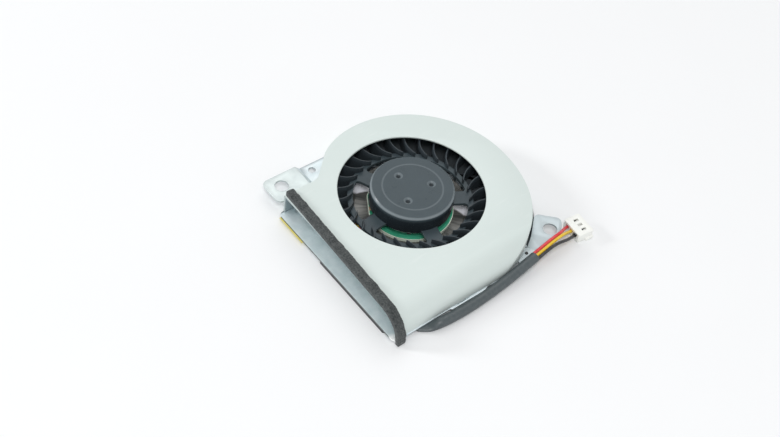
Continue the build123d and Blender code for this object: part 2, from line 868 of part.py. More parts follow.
with BuildPart() as solder_joints:
    with Locations(Rot(0, 0, wire_gate_angle)):
        with Locations(*[(solder_reach, way * wire_pitch, board_top) for way in (-1, 0, 1)]):
            Box(
                2 * solder_radius,
                2 * wire_radius,
                2 * wire_radius + wire_over_board,
                align=(Align.CENTER, Align.CENTER, Align.MIN),
            )
    outward = Axis((0, 0, 0), (*polar(1, wire_gate_angle), 0))
    fillet(solder_joints.edges().filter_by(outward).group_by(Axis.Z)[-1], wire_radius / 2)
solder_joints.part.label = "solder_joints"

with BuildPart() as wire_tape:
    with BuildSketch(Plane.YZ.offset(wire_tape_x - wire_tape_length / 2)):
        bundle_y = inner_route[5][1]
        bundle_half = wire_pitch + wire_radius + film
        with BuildLine():
            Polyline(
                (bundle_y - wire_tape_half, stand_height),
                (bundle_y - bundle_half - 0.6, stand_height),
                (bundle_y - bundle_half, under_level - wire_radius),
                (bundle_y + bundle_half, under_level - wire_radius),
                (bundle_y + bundle_half + 0.6, stand_height),
                (bundle_y + wire_tape_half, stand_height),
                (bundle_y + wire_tape_half, stand_height - film),
                (bundle_y + bundle_half + 0.75, stand_height - film),
                (bundle_y + bundle_half + 0.1, under_level - wire_radius - film),
                (bundle_y - bundle_half - 0.1, under_level - wire_radius - film),
                (bundle_y - bundle_half - 0.75, stand_height - film),
                (bundle_y - wire_tape_half, stand_height - film),
                close=True,
            )
        make_face()
    extrude(amount=wire_tape_length)
wire_tape.part.label = "wire_tape"

with BuildPart(plug_plane) as connector_housing:
    Box(connector_length, connector_width, connector_height, align=(Align.MIN, Align.CENTER, Align.MIN))
    chamfer(connector_housing.edges().filter_by(Axis.Z), plug_corner)
    with Locations((connector_length * 0.75, 0, 0)):
        Box(
            connector_length / 2,
            connector_width + 2 * plug_rib,
            connector_height / 3,
            align=(Align.CENTER, Align.CENTER, Align.MIN),
        )
    cavity_floor = contact_level - contact_height / 2
    with Locations(*[(0, way * contact_pitch, cavity_floor) for way in (-1, 0, 1)]):
        Box(
            connector_length - plug_nose_wall,
            contact_width + 2 * contact_clearance,
            contact_height + contact_clearance,
            align=(Align.MIN, Align.CENTER, Align.MIN),
            mode=Mode.SUBTRACT,
        )
    with Locations(*[(connector_length / 2, way * contact_pitch, contact_level) for way in (-1, 0, 1)]):
        Box(
            connector_length,
            plug_pin_opening,
            plug_pin_opening,
            align=(Align.MIN, Align.CENTER, Align.CENTER),
            mode=Mode.SUBTRACT,
        )
    with Locations(*[(plug_window_place, way * contact_pitch, contact_level) for way in (-1, 0, 1)]):
        Box(
            plug_window_length,
            plug_window_width,
            connector_height,
            align=(Align.CENTER, Align.CENTER, Align.MIN),
            mode=Mode.SUBTRACT,
        )
connector_housing.part.label = "connector_housing"

contacts = []
for number, way in enumerate((1, 0, -1), 1):
    with BuildPart(plug_plane) as contact:
        with Locations((plug_end, way * contact_pitch, cavity_floor)):
            Box(contact_length, contact_width, contact_height, align=(Align.MIN, Align.CENTER, Align.MIN))
        with Locations((plug_end + contact_length, way * contact_pitch, contact_level)):
            Box(
                contact_length,
                contact_bore,
                contact_bore,
                align=(Align.MAX, Align.CENTER, Align.CENTER),
                mode=Mode.SUBTRACT,
            )
    contact.part.label = f"contact_{number}"
    contacts.append(contact.part)

with BuildPart() as glue_dab:
    with BuildSketch(Plane.XZ):
        with BuildLine():
            CenterArc((0, 0), glue_radius, 0, 90)
            Line((0, 0), (glue_radius, 0))
            Line((0, 0), (0, glue_radius))
        make_face()
    revolve(axis=Axis.Z)
glue_dab.part.label = "glue_dab"
glue_part = Pos(*glue_place, base_top) * glue_dab.part
glue_part.label = "glue_dab"

pieces = [
    base_plate.part,
    cover.part,
    outlet_foam.part,
    lower_foam.part,
    edge_tape.part,
    wire_tape.part,
    bearing_holder.part,
    thrust_pad.part,
    sleeve_bearing.part,
    oil_retainer.part,
    board_insulator.part,
    circuit_board.part,
    *board_parts,
    *stator_parts,
    solder_joints.part,
    impeller.part,
    rotor_yoke.part,
    magnet_ring.part,
    rotor_shaft.part,
    cable_sleeve,
    *wires,
    connector_housing.part,
    *contacts,
    glue_part,
]
os.makedirs("parts", exist_ok=True)
for piece in pieces:
    export_step(piece, f"parts/{piece.label}.step")
print(len(pieces), "pieces")
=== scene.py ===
import json
from math import cos, hypot, pi, radians, sin, sqrt, tan
import bmesh
import bpy
from mathutils import Matrix, Vector, noise

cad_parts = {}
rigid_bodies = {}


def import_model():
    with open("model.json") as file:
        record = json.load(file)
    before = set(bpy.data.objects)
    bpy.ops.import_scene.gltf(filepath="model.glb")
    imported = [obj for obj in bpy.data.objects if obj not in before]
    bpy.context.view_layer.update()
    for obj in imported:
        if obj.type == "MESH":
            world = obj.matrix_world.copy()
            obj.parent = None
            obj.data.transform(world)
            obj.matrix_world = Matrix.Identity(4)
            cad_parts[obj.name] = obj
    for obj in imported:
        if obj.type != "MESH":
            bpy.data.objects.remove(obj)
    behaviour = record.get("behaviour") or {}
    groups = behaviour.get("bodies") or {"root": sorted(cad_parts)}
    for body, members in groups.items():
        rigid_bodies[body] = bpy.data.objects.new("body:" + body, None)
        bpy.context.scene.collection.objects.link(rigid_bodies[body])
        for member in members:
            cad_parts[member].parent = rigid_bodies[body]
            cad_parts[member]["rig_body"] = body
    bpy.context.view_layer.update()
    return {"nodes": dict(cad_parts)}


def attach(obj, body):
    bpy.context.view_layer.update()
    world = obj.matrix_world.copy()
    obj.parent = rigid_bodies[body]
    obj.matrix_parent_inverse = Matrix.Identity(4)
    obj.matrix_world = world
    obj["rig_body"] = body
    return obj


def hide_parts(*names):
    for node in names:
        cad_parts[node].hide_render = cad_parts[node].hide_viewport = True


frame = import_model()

mm = 0.001
scene = bpy.context.scene


def newObject(name, data):
    made = bpy.data.objects.new(name, data)
    scene.collection.objects.link(made)
    return made


def backFrom(azimuth, elevation):  # the way from the fan to a camera or a lamp
    return Vector((sin(azimuth) * cos(elevation), -cos(azimuth) * cos(elevation), sin(elevation)))


# Camera: where the photograph was taken from, in millimetres and degrees
cameraSetup = {
    "azimuth": 45.7,
    "elevation": 48.717,
    "roll": 8.382,
    "across": -4.59,
    "upward": -2.729,
    "distance": 272.96,
    "lift": 1.0,
    "focalPixels": 1150,
    "frameWidth": 780,
    "sensorWidth": 36,
}


def makeCamera(setup):
    azimuth, elevation, roll = (radians(setup[key]) for key in ("azimuth", "elevation", "roll"))
    back = backFrom(azimuth, elevation)
    level = Vector((cos(azimuth), sin(azimuth), 0))
    upright = back.cross(level)
    right = level * cos(roll) + upright * sin(roll)
    up = upright * cos(roll) - level * sin(roll)
    place = right * setup["across"] + up * setup["upward"] + back * setup["distance"]
    place += Vector((0, 0, setup["lift"]))
    data = bpy.data.cameras.new("photoCamera")
    data.sensor_width = setup["sensorWidth"]
    data.lens = setup["focalPixels"] * setup["sensorWidth"] / setup["frameWidth"]
    data.clip_start = 0.01
    camera = newObject("photoCamera", data)
    camera.matrix_world = Matrix.Translation(place * mm) @ Matrix((right, up, back)).transposed().to_4x4()
    scene.camera = camera


makeCamera(cameraSetup)
print("camera placed")


class Signal:  # one output of a node, for writing shader maths as expressions
    def __init__(self, finish, socket):
        self.finish = finish
        self.socket = socket

    def maths(self, operation, *values):
        return self.finish.node("ShaderNodeMath", {"operation": operation}, dict(enumerate(values)))

    def __add__(self, other):
        return self.maths("ADD", self, other)

    def __radd__(self, other):
        return self.maths("ADD", other, self)

    def __sub__(self, other):
        return self.maths("SUBTRACT", self, other)

    def __rsub__(self, other):
        return self.maths("SUBTRACT", other, self)

    def __mul__(self, other):
        return self.maths("MULTIPLY", self, other)

    def __rmul__(self, other):
        return self.maths("MULTIPLY", other, self)

    def __truediv__(self, other):
        return self.maths("DIVIDE", self, other)

    def __pow__(self, other):
        return self.maths("POWER", self, other)

    def above(self, edge):
        return self.maths("GREATER_THAN", self, edge)

    def below(self, edge):
        return self.maths("LESS_THAN", self, edge)

    def largest(self, other):
        return self.maths("MAXIMUM", self, other)

    def unsigned(self):
        return self.maths("ABSOLUTE", self)

    def folded(self, span):
        return self.maths("PINGPONG", self, span)


class Finish:  # a material, or a geometry tree, under construction
    def __init__(self, tree):
        self.tree = tree

    def node(self, kind, settings=None, inputs=None, output=0):
        made = self.tree.nodes.new(kind)
        for name, value in (settings or {}).items():
            setattr(made, name, value)
        for name, value in (inputs or {}).items():
            if isinstance(value, Signal):
                self.tree.links.new(value.socket, made.inputs[name])
            else:
                made.inputs[name].default_value = value
        return Signal(self, made.outputs[output])

    def place(self):
        return self.node("ShaderNodeTexCoord", output="Object")

    def split(self, vector):
        parts = self.node("ShaderNodeSeparateXYZ", inputs={0: vector})
        return [Signal(self, socket) for socket in parts.socket.node.outputs]

    def around(self, vector):  # the coordinates and the distance from the rotor's axis, in millimetres
        x, y, z = (part / mm for part in self.split(vector))
        return x, y, z, (x * x + y * y) ** 0.5

    def distance(self, vector, place):  # from a place, both in millimetres
        ends = {0: vector, 1: tuple(value * mm for value in place)}
        return self.node("ShaderNodeVectorMath", {"operation": "DISTANCE"}, ends, output="Value") / mm

    def attribute(self, name):
        return self.node("ShaderNodeAttribute", {"attribute_name": name}, output="Fac")

    def stretched(self, vector, scale, turn=(0, 0, 0)):
        return self.node("ShaderNodeMapping", inputs={"Vector": vector, "Scale": scale, "Rotation": turn})

    def grain(self, vector, perMillimetre, detail=3.0, roughness=0.5):
        sizes = {"Vector": vector, "Scale": perMillimetre / mm, "Detail": detail, "Roughness": roughness}
        return self.node("ShaderNodeTexNoise", inputs=sizes)

    def spread(self, value, low, high, toLow=0.0, toHigh=1.0):
        sizes = {"Value": value, "From Min": low, "From Max": high, "To Min": toLow, "To Max": toHigh}
        return self.node("ShaderNodeMapRange", inputs=sizes)

    def blend(self, factor, first, second):  # a colour is a signal or red, green and blue
        ends = [end if isinstance(end, Signal) else (*end, 1) for end in (first, second)]
        sizes = {"Factor": factor, 6: ends[0], 7: ends[1]}
        return self.node("ShaderNodeMix", {"data_type": "RGBA"}, sizes, output=2)

    def bump(self, height, depth, strength=1.0):
        sizes = {"Height": height, "Distance": depth * mm, "Strength": strength}
        return self.node("ShaderNodeBump", inputs=sizes)


socketNames = {
    "baseColour": "Base Color", "roughness": "Roughness", "metallic": "Metallic", "normal": "Normal",
    "coat": "Coat Weight", "coatRoughness": "Coat Roughness", "sheen": "Sheen Weight",
    "specular": "Specular IOR Level",
}


def newMaterial(name, **sockets):
    material = bpy.data.materials.new(name)
    material.use_nodes = True
    finish = Finish(material.node_tree)
    finish.material = material
    finish.shader = material.node_tree.nodes["Principled BSDF"]
    for key, value in sockets.items():
        finish.shader.inputs[socketNames[key]].default_value = value
    return finish


def connect(finish, **sockets):
    for key, value in sockets.items():
        finish.tree.links.new(value.socket, finish.shader.inputs[socketNames[key]])


def coatedSheet():
    finish = newMaterial("coatedSheet", metallic=0.1, specular=0.4)
    at = finish.place()
    cloud = finish.grain(at, 0.06, 2)
    speckle = finish.grain(at, 3.5, 3)
    scuff = finish.spread(finish.grain(finish.stretched(at, (1, 0.2, 1), (0, 0, 0.6)), 0.9, 4), 0.6, 0.8)
    tone = finish.blend(cloud, (0.60, 0.675, 0.655), (0.66, 0.73, 0.71))
    tone = finish.blend(scuff * 0.35, tone, (0.73, 0.78, 0.77))
    # painted shade on the faces that look into the air channel and on the cut edge over the outlet
    tone = finish.blend(finish.attribute("paintedInsideShade"), tone, (0.24, 0.30, 0.32))
    connect(finish, baseColour=tone)
    connect(finish, roughness=finish.spread(speckle + cloud * 0.5, 0.4, 1.1, 0.42, 0.56))
    connect(finish, normal=finish.bump(speckle, 0.004))
    return finish.material


# Zones of the base plate, in millimetres and degrees. A pair is where a zone starts to show and where it
# is full, or its two limits. A patch of painted reflection is two angles and the degrees that they lean by
# over a millimetre.
baseZones = {
    "floorLevel": 1.3, "ductDepth": (-26.5, -23), "ductSide": (-15.5, -14.5), "ductPale": (0, -13),
    "mouthDepth": (-19.5, -20.5), "mouthSide": -15, "frontDepth": (-24.2, -26.4), "darkLine": (-14.35, -14.65),
    "earLevel": 2.6, "earFoot": (20.0, 8.0), "channelDepth": (-19.5, -16), "channelReach": 22.5,
    "dishReach": 14.3, "dishLevel": 0.25, "patches": [(-157, -139, 4), (43, 62, -4)],
    "glintPlace": (28.2, -26.7, 1.5), "glintReach": (1.7, 0.9), "lipEdgeShade": -27.27,
    "gapFrom": (17.0, 15.3), "gapReach": (27.5, 29.9), "gapTop": 1.55,
}
baseTones = {
    "dull": (0.53, 0.61, 0.64), "bright": (0.66, 0.715, 0.73), "duct": (0.86, 0.96, 1.0),
    "mottleAndShade": (0.46, 0.57, 0.59), "darkLine": (0.04, 0.06, 0.07), "leftEar": (0.58, 0.64, 0.635),
    "shadedRightEar": (0.45, 0.51, 0.53), "earStain": (0.42, 0.47, 0.48), "channel": (0.13, 0.15, 0.165),
    "dishDark": (0.10, 0.105, 0.10), "dishPale": (0.19, 0.19, 0.18), "paintedReflection": (0.93, 0.94, 1.0),
    "paintedGapShade": (0.03, 0.04, 0.045), "lipEdgeShade": (0.08, 0.08, 0.075), "corner": (0.93, 0.95, 0.95),
}


def zincSheet():
    finish = newMaterial("zincSheet")
    zones, tones = baseZones, baseTones
    at = finish.place()
    x, y, z, reach = finish.around(at)
    rolled = finish.grain(finish.stretched(at, (1, 0.05, 1)), 4, 3)
    bloom = finish.grain(at, 0.45, 3)
    mixed = finish.spread(rolled * 0.35 + bloom * 0.65, 0.35, 0.65)
    tone = finish.blend(mixed, tones["dull"], tones["bright"])

    # the duct's floor gets painted light, more of it towards its left end, and is mottled, with painted
    # shade towards its mouth and a painted shadow along the foot of its left wall
    floor = z.above(zones["floorLevel"])
    duct = finish.spread(y, *zones["ductDepth"]) * finish.spread(x, *zones["ductSide"]) * floor
    leftEnd = finish.spread(x, *zones["ductPale"], 0.55, 1.0)
    # painted light on the duct's floor, more of it towards the left end
    tone = finish.blend(duct * leftEnd, tone, tones["duct"])
    mottleAndShade = finish.spread(finish.grain(finish.stretched(at, (1, 0.7, 1)), 0.5, 4, 0.6), 0.44, 0.6)
    # painted shade towards the duct's mouth, in the same darker tone as the mottle
    mouth = finish.spread(y, *zones["mouthDepth"]) * x.above(zones["mouthSide"]) * floor
    front = finish.spread(y, *zones["frontDepth"], 0.0, 0.26)
    tone = finish.blend(mouth * (front + mottleAndShade * 0.26), tone, tones["mottleAndShade"])
    # painted shadow along the foot of the duct's left wall
    tone = finish.blend(mouth * finish.spread(x, *zones["darkLine"]) * 0.8, tone, tones["darkLine"])
    # painted shade: the right ear is coloured darker than the left one
    earTone = finish.blend(x.above(0), tones["leftEar"], tones["shadedRightEar"])
    earTone = finish.blend(finish.spread(bloom, 0.45, 0.7) * 0.3, earTone, tones["earStain"])
    footX, footY = zones["earFoot"]
    ears = (x.above(footX) * y.above(footY)).largest(z.above(zones["earLevel"]))
    tone = finish.blend(ears, tone, earTone)

    # what lies under the blades gets painted shade, and the dish gets a painted reflection of the rotor
    # between two bright patches of painted reflection
    channel = finish.spread(y, *zones["channelDepth"]) * reach.below(zones["channelReach"]) * floor
    tone = finish.blend(channel, tone, tones["channel"])
    angle = y.maths("ARCTAN2", y, x) * (180 / pi)
    fan = finish.node("ShaderNodeCombineXYZ", inputs={0: angle * mm, 1: reach * (0.3 * mm)})
    streaks = finish.spread(finish.grain(fan, 0.35, 3), 0.4, 0.6)
    # painted reflection of the rotor in the dish
    paintedDishReflection = finish.blend(streaks, tones["dishDark"], tones["dishPale"])
    dish = reach.below(zones["dishReach"]) * z.above(zones["dishLevel"])
    bareMetal = 0.6
    metal = bareMetal
    # two bright patches of painted reflection beside the hub
    for low, high, slant in zones["patches"]:
        slanted = angle + (zones["dishReach"] - reach) * slant
        paintedReflection = finish.spread(slanted, low - 2, low + 1) * finish.spread(slanted, high + 1, high - 2)
        paintedDishReflection = finish.blend(paintedReflection, paintedDishReflection, tones["paintedReflection"])
        metal = metal - paintedReflection * dish * bareMetal
    tone = finish.blend(dish, tone, paintedDishReflection)
    connect(finish, metallic=metal)

    # painted shade in the gap beside the right ear and on the lip's front edge, and a painted glint on the
    # lip's corner
    gapX, gapY = zones["gapFrom"]
    near, far = zones["gapReach"]
    paintedGapShade = x.above(gapX) * y.above(gapY) * reach.above(near) * reach.below(far) * z.below(zones["gapTop"])
    tone = finish.blend(paintedGapShade, tone, tones["paintedGapShade"])
    tone = finish.blend(y.below(zones["lipEdgeShade"]) * 0.85, tone, tones["lipEdgeShade"])
    # painted glint on the lip's corner
    corner = finish.spread(finish.distance(at, zones["glintPlace"]), *zones["glintReach"])
    tone = finish.blend(corner, tone, tones["corner"])
    connect(finish, baseColour=tone)
    connect(finish, roughness=finish.spread(bloom + rolled, 0.6, 1.4, 0.34, 0.5))
    connect(finish, normal=finish.bump(rolled, 0.003))
    return finish.material


# Impeller: its shape, in millimetres and degrees, and how it is coloured
impellerShape = {
    "hubRadius": 10.0, "hubTop": 8.2, "hubBottom": 3.2, "hubWall": 0.7, "hubCrown": 0.8, "rimBevel": 0.5,
    "softEdge": 0.05, "footBevel": 0.1, "hubRings": 62, "hubSteps": 192, "smooth": 35,
    "grooveRadius": 7.15, "grooveWidth": 0.4, "grooveDepth": 0.06,
    "dimpleCircle": 4.6, "dimpleRadius": 1.05, "dimpleDepth": 0.55, "dimpleAngle": 68,
    "spokes": 5, "spokeWidth": 3.9, "spokeAngle": 59, "spokeTop": 4.0, "spokeThickness": 0.8,
    "windowRound": 0.8, "ringInner": 13.7, "ringOuter": 15.0, "spokeEdge": 0.08, "overlap": 0.1,
    "blades": 30, "bladePhase": 5, "bladeThickness": 0.6, "bladeInner": 13.9, "bladeOuter": 20.5,
    "bladeSweep": 11, "leanLength": 1.5, "bladeBottom": 2.2, "rootTop": 5.3, "tipTop": 6.0, "shoulder": 17.8,
    "bladeCuts": (26, 5, 7),
}
impellerLook = {
    "dull": (0.046, 0.064, 0.074), "pale": (0.064, 0.086, 0.098), "dust": (0.15, 0.16, 0.17),
    "blade": (0.038, 0.049, 0.057), "crestHighlight": (0.16, 0.19, 0.21), "crestReach": (18.8, 17.6),
    "side": (0.016, 0.022, 0.027), "sideReach": (9.85, 10.15), "sideLevel": (7.7, 6.6),
    "paintedLightMark": (0.21, 0.245, 0.265), "markLevel": (7.5, 7.8), "grooveEdge": (0.3, 0.1),
    "rimEdge": (9.45, 9.7), "rimReach": 10.02, "dimpleOuter": (1.15, 0.95), "dimpleInner": (0.45, 0.65),
    "dimpleLevel": 8.0, "paintedPitShade": (0.012, 0.016, 0.02), "pitLevel": (7.95, 7.72), "pitReach": 6.2,
}


def polar(radius, angle):
    return Vector((radius * cos(radians(angle)), radius * sin(radians(angle))))


def dimpleCentres(shape):
    return [polar(shape["dimpleCircle"], shape["dimpleAngle"] + 120 * third) for third in range(3)]


def glossyBlack():
    finish = newMaterial("glossyBlack", specular=0.2)
    look = impellerLook
    at = finish.place()
    z, reach = finish.around(at)[2:]
    flow = finish.grain(at, 0.4, 3)
    dust = finish.grain(at, 5, 2)
    specks = finish.spread(dust, 0.64, 0.74)
    tone = finish.blend(flow, look["dull"], look["pale"])
    # painted highlight along the blades' top edges, fading into painted shade towards their tips under the
    # cover
    lit = finish.attribute("crestHighlight") ** 1.3 * finish.spread(reach, *look["crestReach"])
    tone = finish.blend(finish.attribute("blade"), tone, finish.blend(lit, look["blade"], look["crestHighlight"]))
    # painted shade on the hub's side, darker towards its foot
    inner, outer = look["sideReach"]
    side = reach.above(inner) * reach.below(outer) * finish.spread(z, *look["sideLevel"])
    tone = finish.blend(side, tone, look["side"])

    # the groove, the hub's rim and the rings of the dimples get painted highlights, and the dimples painted
    # shade inside
    ring = finish.spread((reach - impellerShape["grooveRadius"]).unsigned(), *look["grooveEdge"])
    paler = finish.spread(reach, *look["rimEdge"]) * reach.below(look["rimReach"])
    for centre in dimpleCentres(impellerShape):
        away = finish.distance(at, (*centre, look["dimpleLevel"]))
        edge = finish.spread(away, *look["dimpleOuter"]) * finish.spread(away, *look["dimpleInner"])
        ring = ring + edge * 1.5
    paintedHighlights = (ring * 0.35).largest(paler * 0.95) * finish.spread(z, *look["markLevel"])
    tone = finish.blend(paintedHighlights, tone, look["paintedLightMark"])
    # painted shade inside the dimples
    paintedPitShade = finish.spread(z, *look["pitLevel"]) * reach.below(look["pitReach"])
    tone = finish.blend(paintedPitShade * 0.8, tone, look["paintedPitShade"])
    tone = finish.blend(specks * 0.3, tone, look["dust"])
    connect(finish, baseColour=tone)
    connect(finish, roughness=finish.spread(flow + specks * 0.3, 0.2, 1.0, 0.24, 0.42) - paler * 0.1)
    connect(finish, normal=finish.bump(dust * 0.4 + flow, 0.006))
    return finish.material


def sealFoam(name, dark, light):
    finish = newMaterial(name, sheen=0.15, specular=0.2)
    at = finish.place()
    cells = finish.node("ShaderNodeTexVoronoi", inputs={"Vector": at, "Scale": 3.2 / mm}, output="Distance")
    fuzz = finish.grain(at, 2.6, 4, 0.7)
    patches = finish.grain(at, 0.5, 3)
    tone = finish.blend(finish.spread(fuzz * 0.75 + patches * 0.25, 0.36, 0.64), dark, light)
    connect(finish, baseColour=tone)
    connect(finish, roughness=finish.spread(cells, 0, 1, 0.85, 1))
    connect(finish, normal=finish.bump(cells + fuzz, 0.12))
    return finish.material


def insulation(name, tone, paler):
    finish = newMaterial(name)
    at = finish.place()
    scuff = finish.grain(at, 1.2, 4)
    fine = finish.grain(at, 9, 2)
    connect(finish, baseColour=finish.blend(finish.spread(scuff, 0.4, 0.7), tone, paler))
    connect(finish, roughness=finish.spread(fine, 0.3, 0.7, 0.32, 0.48))
    connect(finish, normal=finish.bump(fine + scuff, 0.008))
    return finish.material


def moulded(name, tone, shade, roughness=0.45):
    finish = newMaterial(name)
    at = finish.place()
    flow = finish.grain(at, 0.8, 3)
    fine = finish.grain(at, 8, 2)
    connect(finish, baseColour=finish.blend(flow, shade, tone))
    connect(finish, roughness=finish.spread(fine, 0.3, 0.7, roughness - 0.06, roughness + 0.08))
    connect(finish, normal=finish.bump(fine, 0.006))
    return finish.material


def turnedMetal(name, tone, shade, roughness=0.28):
    finish = newMaterial(name, metallic=1.0)
    at = finish.place()
    rings = finish.grain(finish.stretched(at, (0.15, 0.15, 6)), 2.5, 3)
    stain = finish.grain(at, 0.7, 3)
    connect(finish, baseColour=finish.blend(stain, shade, tone))
    connect(finish, roughness=finish.spread(rings, 0.3, 0.7, roughness - 0.06, roughness + 0.1))
    connect(finish, normal=finish.bump(rings, 0.004))
    return finish.material


def filmTape():
    finish = newMaterial("filmTape", coat=0.4, coatRoughness=0.15)
    at = finish.place()
    ripple = finish.grain(at, 0.45, 2)
    tone = finish.blend(ripple, (0.70, 0.58, 0.10), (0.84, 0.76, 0.28))
    connect(finish, baseColour=tone)
    connect(finish, roughness=finish.spread(ripple, 0.3, 0.7, 0.22, 0.36))
    connect(finish, normal=finish.bump(ripple, 0.15, 0.5))
    return finish.material


# Circuit board, core and windings
boardLook = {
    "radius": 10.5, "rim": 0.16, "flatAngle": 238, "flatReach": 9.9, "traceWidth": 0.16, "tracePitch": 0.62,
}
coreLook = {"sheetThickness": 0.35, "seamWidth": 0.04, "wireThickness": 0.12}


def boardLacquer():
    finish = newMaterial("boardLacquer", coat=0.5, coatRoughness=0.1)
    look = boardLook
    at = finish.place()
    x, y, _, reach = finish.around(at)
    line = reach.folded(look["tracePitch"] / 2).below(look["traceWidth"] / 2)
    copper = line * finish.grain(at, 0.35, 1).above(0.5)
    lacquer = finish.blend(copper, (0.05, 0.38, 0.22), (0.09, 0.50, 0.32))
    flat = polar(1, look["flatAngle"])
    beyondFlat = (x * flat.x + y * flat.y).above(look["flatReach"] - look["rim"])
    rim = reach.above(look["radius"] - look["rim"]).largest(beyondFlat)
    # the board's own pale cut edge, brightened further with painted light, and carried onto the outer rim of
    # its top
    cut = finish.blend(finish.grain(at, 6, 2), (0.78, 0.90, 0.74), (0.93, 0.99, 0.88))
    connect(finish, baseColour=finish.blend(rim, lacquer, cut))
    connect(finish, roughness=finish.spread(rim, 0, 1, 0.2, 0.6))
    connect(finish, normal=finish.bump(copper, 0.03))
    return finish.material


def laminations():
    finish = newMaterial("laminations", metallic=1.0)
    at = finish.place()
    height = finish.around(at)[2]
    darkLine = height.folded(coreLook["sheetThickness"] / 2).below(coreLook["seamWidth"] / 2)
    rust = finish.grain(at, 1.5, 3)
    tone = finish.blend(rust, (0.36, 0.36, 0.37), (0.50, 0.50, 0.51))
    connect(finish, baseColour=finish.blend(darkLine, tone, (0.08, 0.08, 0.08)))
    connect(finish, roughness=finish.spread(rust, 0.3, 0.7, 0.35, 0.5))
    connect(finish, normal=finish.bump(1 - darkLine, 0.02))
    return finish.material


def enamelledCopper():
    finish = newMaterial("enamelledCopper", metallic=0.85, coat=0.6, coatRoughness=0.15)
    at = finish.place()
    reach = finish.around(at)[3]
    half = coreLook["wireThickness"] / 2
    # dark between the turns and bright along them, as painted shade and painted highlight on the round wire
    groove = finish.spread(reach.folded(half), 0, half)
    stray = finish.grain(at, 2, 2)
    tone = finish.blend(groove * 0.7 + stray * 0.3, (0.20, 0.06, 0.02), (0.75, 0.30, 0.10))
    connect(finish, baseColour=tone)
    connect(finish, roughness=finish.spread(stray, 0.3, 0.7, 0.22, 0.35))
    connect(finish, normal=finish.bump(groove, 0.05))
    return finish.material


materials = {
    "cover": coatedSheet(),
    "zinc": zincSheet(),
    "impeller": glossyBlack(),
    "outletFoam": sealFoam("outletFoamFuzz", (0.022, 0.027, 0.028), (0.115, 0.125, 0.125)),
    "lowerFoam": sealFoam("lowerFoamFuzz", (0.02, 0.022, 0.024), (0.06, 0.065, 0.07)),
    "sleeve": insulation("sleeveRubber", (0.055, 0.072, 0.078), (0.076, 0.092, 0.098)),
    "red": insulation("redInsulation", (0.66, 0.035, 0.05), (0.76, 0.09, 0.10)),
    "yellow": insulation("yellowInsulation", (0.80, 0.52, 0.015), (0.86, 0.62, 0.08)),
    "black": insulation("blackInsulation", (0.015, 0.015, 0.017), (0.05, 0.05, 0.055)),
    "film": filmTape(),
    "board": boardLacquer(),
    "laminations": laminations(),
    "copper": enamelledCopper(),
    "plug": moulded("plugNylon", (0.93, 0.94, 0.90), (0.88, 0.89, 0.85), 0.4),
    "whiteBobbin": moulded("whiteBobbin", (0.80, 0.79, 0.72), (0.70, 0.69, 0.62)),
    "chip": moulded("chipEpoxy", (0.03, 0.03, 0.032), (0.018, 0.018, 0.02), 0.5),
    "ceramic": moulded("capacitorCeramic", (0.50, 0.36, 0.24), (0.40, 0.28, 0.18), 0.5),
    "magnet": moulded("bondedMagnet", (0.055, 0.055, 0.06), (0.035, 0.035, 0.04), 0.55),
    "darkFilm": moulded("darkFilm", (0.10, 0.10, 0.10), (0.06, 0.06, 0.06), 0.4),
    "padPlastic": moulded("padPlastic", (0.22, 0.20, 0.17), (0.15, 0.14, 0.12), 0.35),
    "steel": turnedMetal("platedSteel", (0.56, 0.57, 0.58), (0.46, 0.47, 0.48)),
    "shaft": turnedMetal("groundSteel", (0.72, 0.73, 0.75), (0.64, 0.65, 0.67), 0.14),
    "brass": turnedMetal("turnedBrass", (0.70, 0.54, 0.26), (0.58, 0.43, 0.19)),
    "bronze": turnedMetal("sinteredBronze", (0.50, 0.34, 0.17), (0.36, 0.24, 0.12), 0.45),
    "tin": turnedMetal("tinPlate", (0.74, 0.74, 0.73), (0.62, 0.62, 0.61), 0.2),
    "contact": moulded("contactTin", (0.80, 0.80, 0.78), (0.70, 0.70, 0.68), 0.3),
    "glue": moulded("blackGlue", (0.02, 0.02, 0.022), (0.012, 0.012, 0.013), 0.2),
}
print("materials made:", len(materials))

nodeFinish = {
    "cover": "cover", "base_plate": "zinc", "edge_tape": "film", "wire_tape": "film",
    "bearing_holder": "brass", "sleeve_bearing": "bronze", "thrust_pad": "padPlastic",
    "oil_retainer": "whiteBobbin", "board_insulator": "darkFilm", "circuit_board": "board",
    "driver_chip": "chip", "hall_sensor": "chip", "chip_capacitor_1": "ceramic",
    "chip_capacitor_2": "ceramic", "chip_resistor_1": "chip", "chip_resistor_2": "chip",
    "chip_resistor_3": "chip", "solder_joints": "tin", "lower_insulator": "whiteBobbin",
    "stator_core": "laminations", "upper_insulator": "whiteBobbin", "coil_1": "copper",
    "coil_2": "copper", "coil_3": "copper", "coil_4": "copper", "rotor_yoke": "steel",
    "magnet_ring": "magnet", "rotor_shaft": "shaft", "connector_housing": "plug",
    "contact_1": "contact", "contact_2": "contact", "contact_3": "contact", "glue_dab": "glue",
    "impeller": "impeller", "outlet_foam": "outletFoam", "lower_foam": "lowerFoam",
    "cable_sleeve": "sleeve", "red_wire": "red", "yellow_wire": "yellow", "black_wire": "black",
}
for nodeName, finishName in nodeFinish.items():
    node = frame["nodes"][nodeName]
    node.data.materials.clear()
    node.data.materials.append(materials[finishName])


def newPiece(name, mesh, material, body, *nodes):
    piece = newObject(name, mesh)
    mesh.materials.clear()
    mesh.materials.append(material)
    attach(piece, body)
    if nodes:
        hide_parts(*nodes)
    return piece


def asMesh(holder, name):  # what the holder's modifiers or curves make, as a plain mesh
    evaluated = holder.evaluated_get(bpy.context.evaluated_depsgraph_get())
    mesh = bpy.data.meshes.new_from_object(evaluated)
    mesh.name = name
    bpy.data.objects.remove(holder)
    return mesh


